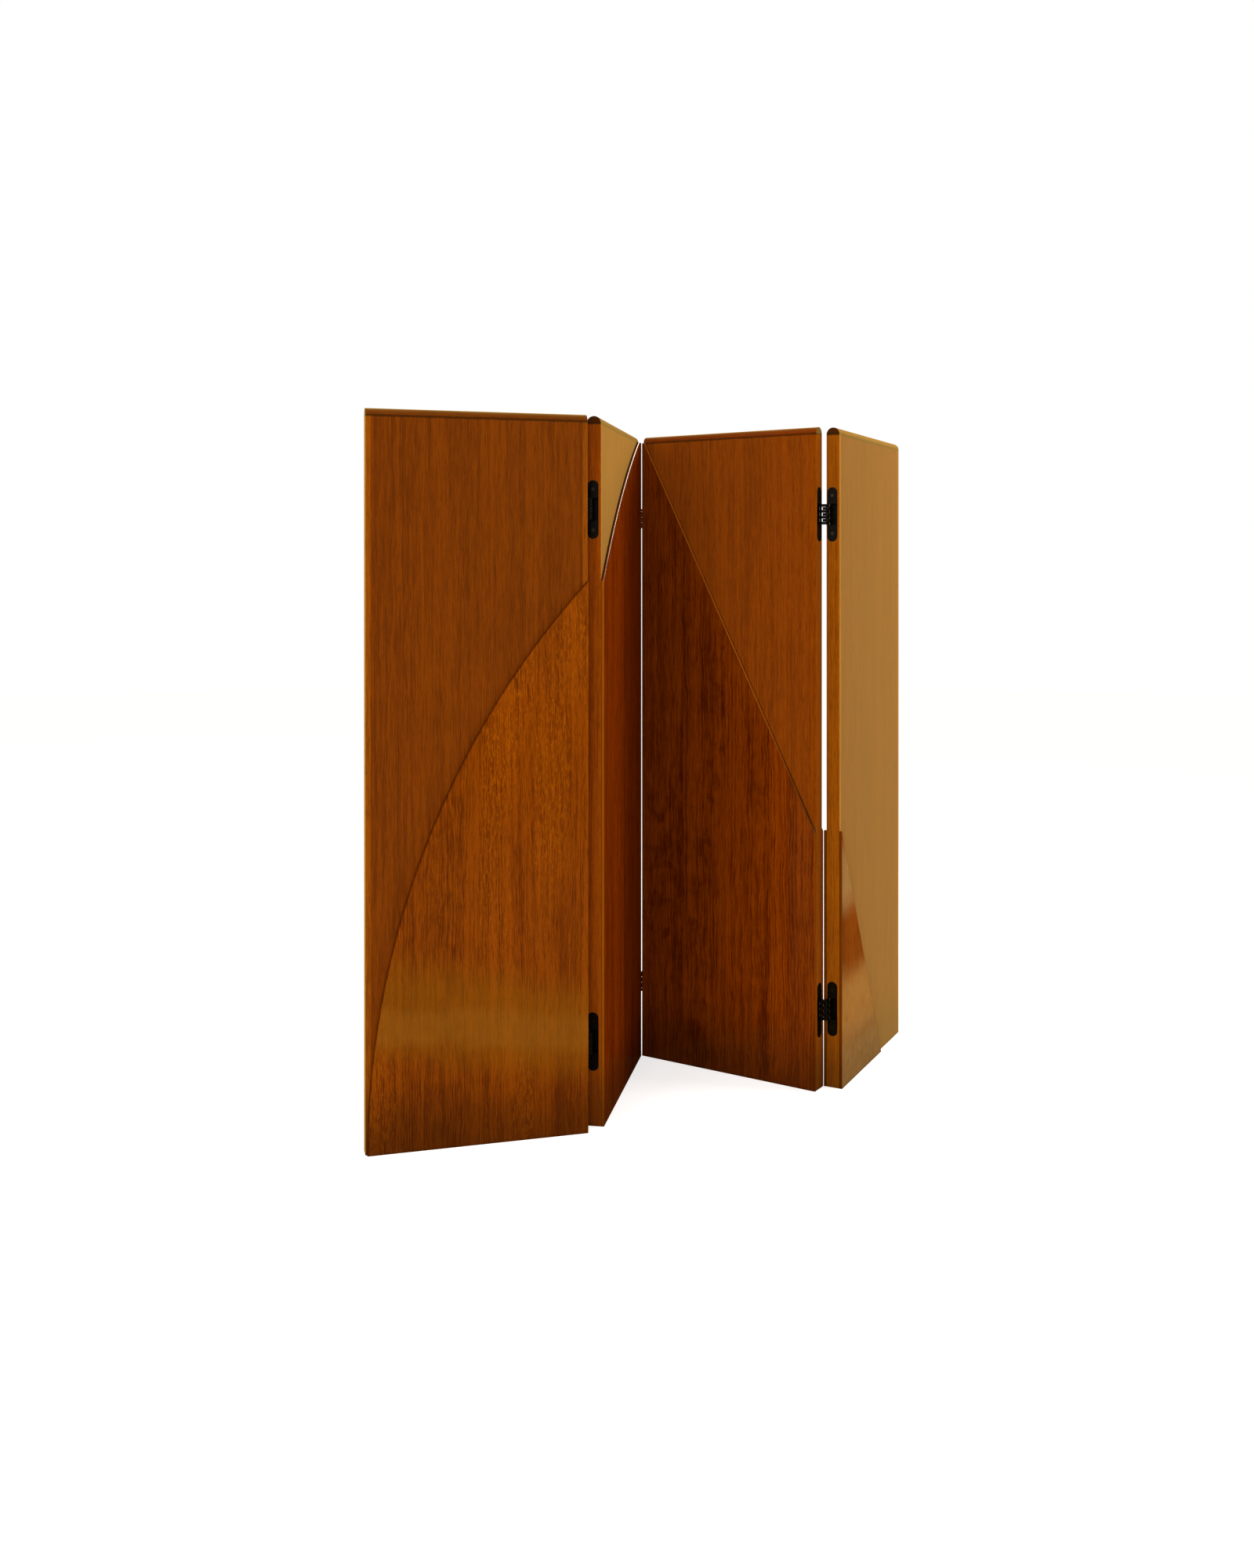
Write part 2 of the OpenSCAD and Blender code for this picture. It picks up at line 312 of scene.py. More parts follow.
def wood_group():
    """Solid wood with its grain along Z: growth rings, fibre streaks, pores, rays and staves."""
    tree, given, result = new_group(
        "wood_grain",
        [("Vector", "Vector", None), ("Early", "Color", (0.25, 0.06, 0.01, 1)),
         ("Late", "Color", (0.15, 0.03, 0.01, 1)), ("Pore", "Color", (0.03, 0.01, 0.0, 1)),
         ("Ring Pitch", "Float", 0.004), ("Ring Strength", "Float", 0.5),
         ("Wander", "Float", 0.02), ("Curl", "Float", 0.004), ("Streaks", "Float", 0.5),
         ("Clouds", "Float", 0.3), ("Figure", "Float", 0.0), ("Pore Amount", "Float", 0.5),
         ("Rays", "Float", 0.0),
         ("Stave Width", "Float", 0.13), ("Stave Contrast", "Float", 0.1),
         ("Seed", "Float", 0.0)],
        [("Color", "Color", None), ("Dullness", "Float", None), ("Height", "Float", None)])
    place = add(tree, "ShaderNodeSeparateXYZ", {0: given["Vector"]}).outputs
    # staves: glued strips of the same wood, each cut from another place in the log
    across = maths(tree, "DIVIDE", place[0], given["Stave Width"])
    across = maths(tree, "ADD", across, given["Seed"])
    stave = maths(tree, "FLOOR", across)
    within = maths(tree, "FRACT", across)
    log_number = maths(tree, "FLOOR", maths(tree, "MULTIPLY", given["Seed"], LOG_STEP))
    luck = add(tree, "ShaderNodeTexWhiteNoise", {"W": maths(tree, "ADD", log_number, stave)},
               noise_dimensions="1D").outputs
    shift = stretched(tree, luck["Color"], LOG_SHIFT)
    log = add(tree, "ShaderNodeVectorMath", {0: given["Vector"], 1: shift},
              operation="ADD").outputs[0]
    # curl: the fibres wave sideways in patches
    swing = maths(tree, "SUBTRACT", noise(tree, log, CURLS, 3.0, 0.55), 0.5)
    quiver = maths(tree, "SUBTRACT", noise(tree, log, QUIVERS, 2.0, 0.5), 0.5)
    swing = maths(tree, "MULTIPLY_ADD", quiver, QUIVER_SHARE, swing)
    sideways = maths(tree, "MULTIPLY", swing, given["Curl"])
    sideways = add(tree, "ShaderNodeCombineXYZ", {0: sideways}).outputs[0]
    log = add(tree, "ShaderNodeVectorMath", {0: log, 1: sideways}, operation="ADD").outputs[0]
    log_place = add(tree, "ShaderNodeSeparateXYZ", {0: log}).outputs
    # growth rings, cut nearly square to the face, wandering along the length
    wander = noise(tree, log, WANDERS, 3.0, 0.55)
    ripple = noise(tree, log, RIPPLES, 2.0, 0.5)
    depth = maths(tree, "MULTIPLY_ADD", log_place[1], RING_SLANT, log_place[0])
    depth = maths(tree, "ADD", depth, maths(tree, "MULTIPLY", wander, given["Wander"]))
    depth = maths(tree, "MULTIPLY_ADD", ripple, RIPPLE_DEPTH, depth)
    rings = maths(tree, "DIVIDE", depth, given["Ring Pitch"])
    ring_luck = add(tree, "ShaderNodeTexWhiteNoise", {"W": maths(tree, "FLOOR", rings)},
                    noise_dimensions="1D").outputs["Value"]
    late = maths(tree, "POWER", maths(tree, "FRACT", rings), LATE_SHARPNESS)
    late = maths(tree, "MULTIPLY", late, ramped(tree, ring_luck, 0.0, 1.0, 0.05, 1.0))
    # fibre streaks, from hair-fine to a finger wide
    fine = noise(tree, log, FINE_FIBRES, 3.0, 0.7)
    middle = noise(tree, log, MIDDLE_FIBRES, 4.0, 0.65)
    broad = noise(tree, log, BROAD_FIBRES, 3.0, 0.55)
    clouds = noise(tree, log, CLOUDS, 4.0, 0.6)
    streak = maths(tree, "MULTIPLY", middle, MIDDLE_SHARE)
    streak = maths(tree, "MULTIPLY_ADD", fine, FINE_SHARE, streak)
    streak = maths(tree, "MULTIPLY_ADD", broad, BROAD_SHARE, streak)
    streak = ramped(tree, streak, 0.42, 0.60)
    # figure: dark waves that lie across the grain in patches
    flame = ramped(tree, noise(tree, log, FLAMES, 2.0), 0.40, 0.62)
    waves = ramped(tree, noise(tree, log, WAVES, 3.0, 0.55, 0.7), 0.36, 0.70)
    figure = maths(tree, "MULTIPLY", maths(tree, "MULTIPLY", flame, waves), given["Figure"])
    figure = maths(tree, "MULTIPLY", figure, ramped(tree, luck["Value"], 0.2, 0.8, 1.4, 0.5))
    # pores: open dashes, thicker in the early wood
    dashes = noise(tree, log, PORE_DASHES, 2.0, 0.6)
    hairs = noise(tree, log, PORE_HAIRS, 1.0, 0.5)
    open_wood = maths(tree, "SUBTRACT", 1.0, maths(tree, "MULTIPLY", late, 0.6))
    hairs = maths(tree, "MULTIPLY", ramped(tree, hairs, 0.60, 0.70), HAIR_SHARE)
    pores = maths(tree, "MAXIMUM", ramped(tree, dashes, 0.55, 0.70), hairs)
    pores = maths(tree, "MULTIPLY", pores, open_wood)
    pores = maths(tree, "MULTIPLY", pores, given["Pore Amount"])
    # rays: pale flecks that cross the grain in patches, most of all on the pale staves
    patch = ramped(tree, noise(tree, log, RAY_PATCHES, 1.0), 0.42, 0.68)
    flecks = noise(tree, log, RAY_FLECKS, 2.0, 0.55, 0.8)
    flecks = ramped(tree, flecks, 0.48, 0.64)
    rays = maths(tree, "MULTIPLY", maths(tree, "MULTIPLY", flecks, patch), given["Rays"])
    rays = maths(tree, "MULTIPLY", rays, ramped(tree, luck["Value"], 0.3, 0.8, 0.35, 1.5))
    # colour
    dark = maths(tree, "MULTIPLY", late, given["Ring Strength"])
    dark = maths(tree, "ADD", dark, maths(tree, "MULTIPLY", streak, given["Streaks"]))
    dark = maths(tree, "ADD", dark, figure)
    cloud = maths(tree, "MULTIPLY", maths(tree, "SUBTRACT", clouds, 0.5), given["Clouds"])
    dark = add(tree, "ShaderNodeMath", {0: dark, 1: cloud}, operation="ADD",
               use_clamp=True).outputs[0]
    colour = mixed(tree, dark, given["Early"], given["Late"])
    tone = maths(tree, "SUBTRACT", luck["Value"], 0.5)
    tone = maths(tree, "MULTIPLY_ADD", tone, given["Stave Contrast"], 1.0)
    tone = add(tree, "ShaderNodeCombineColor", {0: tone, 1: tone, 2: tone}).outputs[0]
    colour = mixed(tree, 1.0, colour, tone, "MULTIPLY")
    bright = mixed(tree, 1.0, given["Early"], RAY_LIFT, "MULTIPLY")
    colour = mixed(tree, maths(tree, "MULTIPLY", rays, RAY_SHARE), colour, bright)
    colour = mixed(tree, maths(tree, "MULTIPLY", pores, PORE_SHARE), colour, given["Pore"])
    seam = maths(tree, "ABSOLUTE", maths(tree, "SUBTRACT", within, 0.5))
    seam = maths(tree, "MULTIPLY", maths(tree, "SUBTRACT", 0.5, seam), given["Stave Width"])
    seam = ramped(tree, seam, SEAM_CORE, SEAM_REACH, 1.0, 0.0)
    colour = mixed(tree, maths(tree, "MULTIPLY", seam, SEAM_SHARE), colour, given["Pore"])
    tree.links.new(colour, result["Color"])
    tree.links.new(maths(tree, "MULTIPLY_ADD", streak, 0.5, pores), result["Dullness"])
    height = maths(tree, "MULTIPLY_ADD", pores, -1.0, maths(tree, "MULTIPLY", fine, 0.3))
    height = maths(tree, "MULTIPLY_ADD", middle, 1.5, height)
    height = maths(tree, "MULTIPLY_ADD", seam, -0.5, height)
    tree.links.new(height, result["Height"])
    return tree


def end_grain_group():
    """Where a face cuts across the grain (Z): 1 on end grain, 0 along the grain."""
    tree, given, result = new_group("end_grain", [("Normal", "Vector", None)],
                                    [("Amount", "Float", None)])
    facing = add(tree, "ShaderNodeSeparateXYZ", {0: given["Normal"]}).outputs[2]
    tree.links.new(ramped(tree, maths(tree, "ABSOLUTE", facing), 0.55, 0.95), result["Amount"])
    return tree


def arris_group():
    """Wear along the upright corners of a panel and round its foot, in the panel's own frame."""
    tree, given, result = new_group(
        "arris_wear",
        [("Vector", "Vector", None), ("Reach", "Float", 0.003), ("Depth", "Float", HALF_T),
         ("Foot", "Float", 0.02)],
        [("Wear", "Float", None), ("Scuff", "Float", None)])
    place = add(tree, "ShaderNodeSeparateXYZ", {0: given["Vector"]}).outputs
    from_end = maths(tree, "SUBTRACT", HALF_W, maths(tree, "ABSOLUTE", place[0]))
    from_face = maths(tree, "SUBTRACT", given["Depth"], maths(tree, "ABSOLUTE", place[1]))
    distance = maths(tree, "MAXIMUM", from_end, from_face)
    rough_edge = noise(tree, given["Vector"], WORN_EDGES, 3.0, 0.6)
    reach = maths(tree, "MULTIPLY", given["Reach"], rough_edge)
    distance = maths(tree, "SUBTRACT", distance, reach)
    wear = ramped(tree, distance, WEAR_INNER, WEAR_OUTER, 1.0, 0.0)
    tree.links.new(wear, result["Wear"])
    patches = noise(tree, given["Vector"], SCUFFS, 4.0, 0.6)
    low = maths(tree, "MULTIPLY_ADD", patches, given["Foot"],
                maths(tree, "MULTIPLY", place[2], -1.0))
    tree.links.new(ramped(tree, low, 0.0, SCUFF_FADE), result["Scuff"])
    return tree


def painted_foot_shade_group():
    """Painted shade: wood darkened just above the floor, where less light reaches."""
    tree, given, result = new_group("painted_foot_shade", [("Vector", "Vector", None)],
                                    [("Amount", "Float", None)])
    height = add(tree, "ShaderNodeSeparateXYZ", {0: given["Vector"]}).outputs[2]
    edge = noise(tree, given["Vector"], FOOT_SHADE_EDGE, 4.0, 0.6)
    edge = maths(tree, "SUBTRACT", edge, 0.5)
    height = maths(tree, "MULTIPLY_ADD", edge, FOOT_SHADE_WANDER, height)
    tree.links.new(ramped(tree, height, FOOT_SHADE_FULL, FOOT_SHADE_TOP, 1.0, 0.0), result["Amount"])
    return tree


def corner_dirt_and_shade_group():
    """Dark wax, dust and painted shade in an inner corner: Distance is how far a point is from it.
    """
    tree, given, result = new_group(
        "corner_dirt_and_shade",
        [("Vector", "Vector", None), ("Distance", "Float", 0.0), ("Reach", "Float", 0.002)],
        [("Amount", "Float", None)])
    patches = noise(tree, given["Vector"], DIRT_PATCHES, 3.0, 0.6)
    reach = maths(tree, "MULTIPLY", maths(tree, "ADD", patches, 0.5), given["Reach"])
    share = maths(tree, "DIVIDE", maths(tree, "ABSOLUTE", given["Distance"]), reach)
    tree.links.new(ramped(tree, share, 0.35, 1.0, 1.0, 0.0), result["Amount"])
    return tree


def painted_band_group():
    """A soft cloudy band at a height above the floor, for painted reflections and painted shade.

    Tilt is how far the band falls for each metre to the right.
    """
    tree, given, result = new_group(
        "painted_light_band",
        [("Vector", "Vector", None), ("Middle", "Float", 0.4), ("Spread", "Float", 0.1),
         ("Tilt", "Float", 0.0)],
        [("Amount", "Float", None)])
    place = add(tree, "ShaderNodeSeparateXYZ", {0: given["Vector"]}).outputs
    height = maths(tree, "MULTIPLY_ADD", place[0], given["Tilt"], place[2])
    drift = noise(tree, given["Vector"], BAND_DRIFT, 4.0, 0.6)
    drift = maths(tree, "SUBTRACT", drift, 0.5)
    height = maths(tree, "MULTIPLY_ADD", drift, BAND_WANDER, height)
    away = maths(tree, "ABSOLUTE", maths(tree, "SUBTRACT", height, given["Middle"]))
    away = maths(tree, "DIVIDE", away, given["Spread"])
    mottle = noise(tree, given["Vector"], BAND_MOTTLE, 4.0, 0.6)
    band = maths(tree, "MULTIPLY", ramped(tree, away, 0.4, 1.2, 1.0, 0.0),
                 ramped(tree, mottle, 0.2, 0.8, 0.7, 1.0))
    tree.links.new(band, result["Amount"])
    return tree


def lacquer_group():
    """The faint waves and orange peel of a lacquered surface, and where it has dulled."""
    tree, given, result = new_group("lacquer_skin", [("Vector", "Vector", None)],
                                    [("Height", "Float", None), ("Haze", "Float", None)])
    wave = noise(tree, given["Vector"], SKIN_WAVES, 1.0)
    peel = noise(tree, given["Vector"], SKIN_PEEL, 1.0)
    height = maths(tree, "ADD", wave, maths(tree, "MULTIPLY", peel, 0.02))
    tree.links.new(height, result["Height"])
    haze = noise(tree, given["Vector"], SKIN_HAZE, 4.0, 0.65)
    tree.links.new(ramped(tree, haze, 0.35, 0.7), result["Haze"])
    return tree


WOOD = wood_group()
END_GRAIN = end_grain_group()
ARRIS_WEAR = arris_group()
PAINTED_FOOT_SHADE = painted_foot_shade_group()
CORNER_DIRT_AND_SHADE = corner_dirt_and_shade_group()
PAINTED_BAND = painted_band_group()
LACQUER = lacquer_group()

# ---- Materials --------------------------------------------------------------

# How strongly each effect covers a wood's colour, and how much each adds to its roughness
END_SHARE = 0.85
FOOT_SHADE_SHARE = 0.55
DIRT_AND_SHADE_SHARE = 0.7
WEAR_SHARE = 0.3
SCUFF_SHARE = 0.35
DULL_GRAIN = 0.08
DULL_HAZE = 0.06
DULL_ENDS = 0.15
GRAIN_DEPTH = 0.0001
# Castings and steel: how fast each pattern changes along x, y and z, per metre
SPECKLES = (1500.0, 1500.0, 1500.0)
SMEARS = (90.0, 90.0, 160.0)
TURNED_MARKS = (300.0, 300.0, 4000.0)
ENAMEL = (0.0035, 0.0022, 0.0010, 1.0)
RUBBED_ENAMEL = (0.04, 0.030, 0.020, 1.0)
ENAMEL_DEPTH = 0.00005
STEEL_DEPTH = 0.00003


def new_material(name, finish, inputs):
    """A material with one Principled shader, its constants set on its own sockets."""
    material = bpy.data.materials.new(name)
    material.use_nodes = True
    tree = material.node_tree
    shader = feed(tree, only(tree, "BSDF_PRINCIPLED"), inputs)
    finish(tree, shader)
    return material


def panel_vector(tree, i, sideways=False):
    """A point in panel i's own frame; sideways turns it so that the panel's length is Z."""
    point = add(tree, "ShaderNodeTexCoord").outputs
    middle = PLACES[i].translation
    turn = math.radians(HEADINGS[i])
    local = add(tree, "ShaderNodeMapping",
                {"Vector": point["Object"], "Location": (middle.x, middle.y, 0.0),
                 "Rotation": (0.0, 0.0, turn)}, vector_type="TEXTURE").outputs[0]
    facing = add(tree, "ShaderNodeMapping",
                 {"Vector": point["Normal"], "Rotation": (0.0, 0.0, turn)},
                 vector_type="TEXTURE").outputs[0]
    grain = local
    if sideways:
        quarter = {"Rotation": (0.0, math.radians(90), 0.0)}
        grain = add(tree, "ShaderNodeMapping", {"Vector": local, **quarter}).outputs[0]
        facing = add(tree, "ShaderNodeMapping", {"Vector": facing, **quarter}).outputs[0]
    return local, grain, facing


def wood_material(name, i, look, skin_look, sideways=False, depth=HALF_T, blooms=(),
                  rim=None):
    """Lacquered wood on panel i: look feeds the grain, skin_look the lacquer.

    sideways is for a grain that runs along the panel's length. depth is how far the piece's
    outer face lies from the panel's middle. blooms are (height, spread, tilt, strength,
    tone) of painted reflections and painted shade laid in bands, and Band Gloss in skin_look is
    the coat added where they lie. rim is (tone, strength, dirt reach) of a field's edge: the tone
    paints its light and shade, and dirt with painted contact shade lies where it meets the board.
    """
    constants = dict(skin_look)
    base = constants.pop("Roughness")
    peel = constants.pop("Peel")
    gloss = constants.pop("Bloom Gloss", 0.0)

    def finish(tree, shader):
        local, grain, facing = panel_vector(tree, i, sideways)
        wood = place_group(tree, WOOD, {"Vector": grain, **look})
        ends = place_group(tree, END_GRAIN, {"Normal": facing})["Amount"]
        skin = place_group(tree, LACQUER, {"Vector": local})
        colour = mixed(tree, maths(tree, "MULTIPLY", ends, END_SHARE), wood["Color"], END_TONE)
        # A tone that paints the light and shade on a field's rim, wall and end faces
        if rim:
            colour = mixed(tree, rim[1], colour, rim[0])
        banded = 0.0
        # Painted reflections and painted shade, laid in bands
        for middle, spread, tilt, strength, tone in blooms:
            bloom = place_group(tree, PAINTED_BAND, {"Vector": local, "Middle": middle,
                                              "Spread": spread, "Tilt": tilt})["Amount"]
            banded = maths(tree, "MAXIMUM", bloom, banded)
            colour = mixed(tree, maths(tree, "MULTIPLY", bloom, strength), colour, tone)
        # Painted shade, darker towards the floor
        foot_shade = place_group(tree, PAINTED_FOOT_SHADE, {"Vector": local})["Amount"]
        colour = mixed(tree, maths(tree, "MULTIPLY", foot_shade, FOOT_SHADE_SHARE), colour, look["Pore"])
        place = add(tree, "ShaderNodeSeparateXYZ", {0: local}).outputs
        corner = maths(tree, "SUBTRACT", place[2], SPRING_Z)
        if rim:
            corner = maths(tree, "SUBTRACT", maths(tree, "ABSOLUTE", place[1]), HALF_T)
        # Dark wax and dust in the corner, with painted contact shade along a field's rim
        dirt_and_shade = place_group(tree, CORNER_DIRT_AND_SHADE, {"Vector": local, "Distance": corner,
                                               "Reach": rim[2] if rim else RAIL_DIRT})
        colour = mixed(tree, maths(tree, "MULTIPLY", dirt_and_shade["Amount"], DIRT_AND_SHADE_SHARE), colour, DIRT_AND_SHADE)
        if not sideways:
            worn = place_group(tree, ARRIS_WEAR, {"Vector": local, "Depth": depth,
                                                  "Reach": WEAR_REACH})
            pale = mixed(tree, 1.0, colour, WEAR_LIFT, "MULTIPLY")
            wear = maths(tree, "MULTIPLY", worn["Wear"], WEAR_SHARE)
            colour = mixed(tree, wear, colour, pale)
            scuff = maths(tree, "MULTIPLY", worn["Scuff"], SCUFF_SHARE)
            colour = mixed(tree, scuff, colour, look["Pore"])
        tree.links.new(colour, shader.inputs["Base Color"])
        if gloss:
            coat = maths(tree, "MULTIPLY_ADD", banded, gloss, constants["Coat Weight"])
            tree.links.new(coat, shader.inputs["Coat Weight"])
        roughness = maths(tree, "MULTIPLY_ADD", wood["Dullness"], DULL_GRAIN, base)
        roughness = maths(tree, "MULTIPLY_ADD", skin["Haze"], DULL_HAZE, roughness)
        roughness = maths(tree, "MULTIPLY_ADD", ends, DULL_ENDS, roughness)
        tree.links.new(roughness, shader.inputs["Roughness"])
        grain_bump = add(tree, "ShaderNodeBump",
                         {"Height": wood["Height"], "Strength": 0.6, "Distance": GRAIN_DEPTH})
        skin_bump = add(tree, "ShaderNodeBump",
                        {"Height": skin["Height"], "Strength": 1.0, "Distance": peel,
                         "Normal": grain_bump.outputs[0]})
        tree.links.new(skin_bump.outputs[0], shader.inputs["Normal"])

    return new_material(name, finish, constants)


def casting_finish(rub):
    """Black enamel over cast metal, rubbed thin in patches."""

    def finish(tree, shader):
        point = add(tree, "ShaderNodeTexCoord").outputs["Object"]
        speckle = noise(tree, point, SPECKLES, 2.0, 0.6)
        smear = noise(tree, point, SMEARS, 3.0, 0.6)
        rubbed = maths(tree, "MULTIPLY", ramped(tree, smear, 0.58, 0.72), rub)
        tree.links.new(mixed(tree, rubbed, ENAMEL, RUBBED_ENAMEL), shader.inputs["Base Color"])
        roughness = maths(tree, "MULTIPLY_ADD", speckle, 0.25, 0.32)
        tree.links.new(roughness, shader.inputs["Roughness"])
        bump = add(tree, "ShaderNodeBump",
                   {"Height": speckle, "Strength": 0.5, "Distance": ENAMEL_DEPTH})
        tree.links.new(bump.outputs[0], shader.inputs["Normal"])

    return finish


def steel_finish(shade_of):
    """Turned steel with fine marks round it."""

    def finish(tree, shader):
        point = add(tree, "ShaderNodeTexCoord").outputs["Object"]
        marks = noise(tree, point, TURNED_MARKS, 2.0, 0.6)
        dark = tuple(0.6 * c for c in shade_of[:3]) + (1.0,)
        tree.links.new(mixed(tree, marks, dark, shade_of), shader.inputs["Base Color"])
        tree.links.new(maths(tree, "MULTIPLY_ADD", marks, 0.3, 0.22), shader.inputs["Roughness"])
        bump = add(tree, "ShaderNodeBump",
                   {"Height": marks, "Strength": 0.4, "Distance": STEEL_DEPTH})
        tree.links.new(bump.outputs[0], shader.inputs["Normal"])

    return finish


def toned(look, tone, seed):
    """A look with its wood made lighter or darker as painted light, and its own seed."""
    changed = dict(look)
    for part in ("Early", "Late"):
        changed[part] = tuple(c * t for c, t in zip(look[part], tone)) + (1.0,)
    changed["Seed"] = seed
    return changed


def woods(name, looks, skins, **extras):
    """One wood for each panel; each extra holds a value for each panel."""
    return [wood_material(f"{name}_{i + 1}", i, looks[i], skins[i],
                          **{key: values[i] for key, values in extras.items()})
            for i in range(PANELS)]


# Colours, as linear red, green, blue and alpha
PORE = (0.030, 0.006, 0.0003, 1.0)
END_TONE = (0.035, 0.006, 0.0003, 1.0)
# Dirt, also laid as painted shade in corners and on panel 3's rim
DIRT_AND_SHADE = (0.010, 0.003, 0.0005, 1.0)
# Painted reflections, laid in bands on the fields
GOLDEN_REFLECTION = (0.235, 0.080, 0.002, 1.0)
HAZY_REFLECTION = (0.30, 0.115, 0.010, 1.0)
PALE_REFLECTION = (0.44, 0.275, 0.100, 1.0)
AMBER_REFLECTION = (0.42, 0.155, 0.010, 1.0)
WEAR_LIFT = (1.6, 1.8, 2.4, 1.0)
PIN_TONE = (0.13, 0.115, 0.095, 1.0)
SCREW_TONE = (0.022, 0.018, 0.013, 1.0)
# How far dirt, painted shade and wear reach from a corner, in metres
RIM_DIRT_AND_SHADE = 0.005
SEAM_DIRT = 0.0022
RAIL_DIRT = 0.004
WEAR_REACH = 0.004

# Woods: early and late wood, then how each effect of wood_grain shows
BOARD_LOOK = {"Early": (0.232, 0.043, 0.0003, 1), "Late": (0.108, 0.0165, 0.0002, 1),
              "Pore": PORE, "Ring Pitch": 0.0052, "Ring Strength": 0.42, "Wander": 0.050,
              "Curl": 0.006, "Streaks": 0.70, "Clouds": 0.30, "Pore Amount": 0.60, "Rays": 0.0,
              "Stave Width": 0.26, "Stave Contrast": 0.05}
EDGE_LOOK = {**BOARD_LOOK, "Early": (0.300, 0.066, 0.0010, 1),
             "Late": (0.160, 0.028, 0.0004, 1), "Ring Pitch": 0.0042, "Ring Strength": 0.5,
             "Stave Width": 5.0}
RAIL_LOOK = {**EDGE_LOOK, "Early": (0.160, 0.028, 0.0006, 1),
             "Late": (0.085, 0.013, 0.0003, 1)}
# How much lighter each panel's wood is than its look, in red, green and blue: painted light
# that makes up for how the lamps light each panel
BOARD_PAINTED_LIGHT = ((0.86, 0.83, 0.7), (1.0, 1.0, 1.0), (1.22, 1.18, 0.7), (0.76, 0.70, 1.0))
EDGE_PAINTED_LIGHT = ((1.0, 1.0, 1.0), (1.10, 0.95, 0.6), (0.97, 0.90, 0.4), (1.12, 1.26, 0.6))
RAIL_PAINTED_LIGHT = ((1.0, 1.0, 0.8), (1.0, 1.0, 1.0), (1.60, 1.10, 0.4), (1.0, 1.0, 1.0))
# Each field's own wood; its early and late colours are set per panel partly as painted light, for
# how that panel is lit
FIELD_LOOKS = (
    {"Early": (0.268, 0.053, 0.0004, 1), "Late": (0.085, 0.012, 0.0002, 1), "Pore": PORE,
     "Ring Pitch": 0.0060, "Ring Strength": 0.55, "Wander": 0.060, "Curl": 0.012,
     "Streaks": 0.70, "Clouds": 0.50, "Figure": 0.15, "Pore Amount": 0.70, "Rays": 1.0,
     "Stave Width": 0.13, "Stave Contrast": 0.25},
    {"Early": (0.230, 0.034, 0.0004, 1), "Late": (0.075, 0.008, 0.0002, 1), "Pore": PORE,
     "Ring Pitch": 0.0080, "Ring Strength": 0.50, "Wander": 0.060, "Curl": 0.020,
     "Streaks": 0.68, "Clouds": 0.60, "Figure": 0.2, "Pore Amount": 0.55, "Rays": 0.2,
     "Stave Width": 0.13, "Stave Contrast": 0.25},
    {"Early": (0.240, 0.041, 0.0004, 1), "Late": (0.080, 0.0095, 0.0002, 1), "Pore": PORE,
     "Ring Pitch": 0.0090, "Ring Strength": 0.65, "Wander": 0.070, "Curl": 0.016,
     "Streaks": 0.70, "Clouds": 0.8, "Figure": 0.32, "Pore Amount": 0.60, "Rays": 0.0,
     "Stave Width": 0.13, "Stave Contrast": 0.28},
    {"Early": (0.275, 0.056, 0.0003, 1), "Late": (0.130, 0.019, 0.0002, 1), "Pore": PORE,
     "Ring Pitch": 0.0075, "Ring Strength": 0.45, "Wander": 0.060, "Curl": 0.020,
     "Streaks": 0.65, "Clouds": 0.50, "Figure": 0.2, "Pore Amount": 0.45, "Rays": 0.3,
     "Stave Width": 0.13, "Stave Contrast": 0.20},
)
FIELD_SEEDS = (72.0, 6.0, 25.0, 8.0)
# Painted reflections in each field's lacquer, laid in bands: height, spread, tilt, strength and
# tone
FIELD_PAINTED_REFLECTIONS = (
    ((0.29, 0.13, 0.20, 0.50, GOLDEN_REFLECTION), (0.27, 0.05, 0.10, 0.30, HAZY_REFLECTION)),
    (),
    (),
    ((0.55, 0.11, 0.0, 0.34, PALE_REFLECTION), (0.19, 0.12, 0.0, 0.36, AMBER_REFLECTION),
     (0.00, 0.14, 0.0, 0.26, PALE_REFLECTION)),
)
# Lacquers
SATIN = {"Roughness": 0.40, "Peel": 0.0006, "Specular IOR Level": 0.0, "Sheen Weight": 0.66,
         "Sheen Roughness": 0.5, "Sheen Tint": (1.0, 0.67, 0.15, 1.0)}
BOARD_SKINS = (SATIN, SATIN, SATIN,
               {**SATIN, "Sheen Weight": 0.62, "Sheen Tint": (1.0, 0.64, 0.17, 1.0)})
EDGE_SKINS = (SATIN, SATIN, {**SATIN, "Sheen Weight": 0.12}, SATIN)
POLISHED = {"Roughness": 0.40, "Peel": 0.0009, "Specular IOR Level": 0.0, "Coat Weight": 0.25,
            "Coat Roughness": 0.06}
FIELD_SKINS = (POLISHED, {**POLISHED, "Coat Weight": 0.06}, POLISHED,
               {**POLISHED, "Coat Weight": 0.10, "Coat IOR": 1.8, "Bloom Gloss": 0.9})
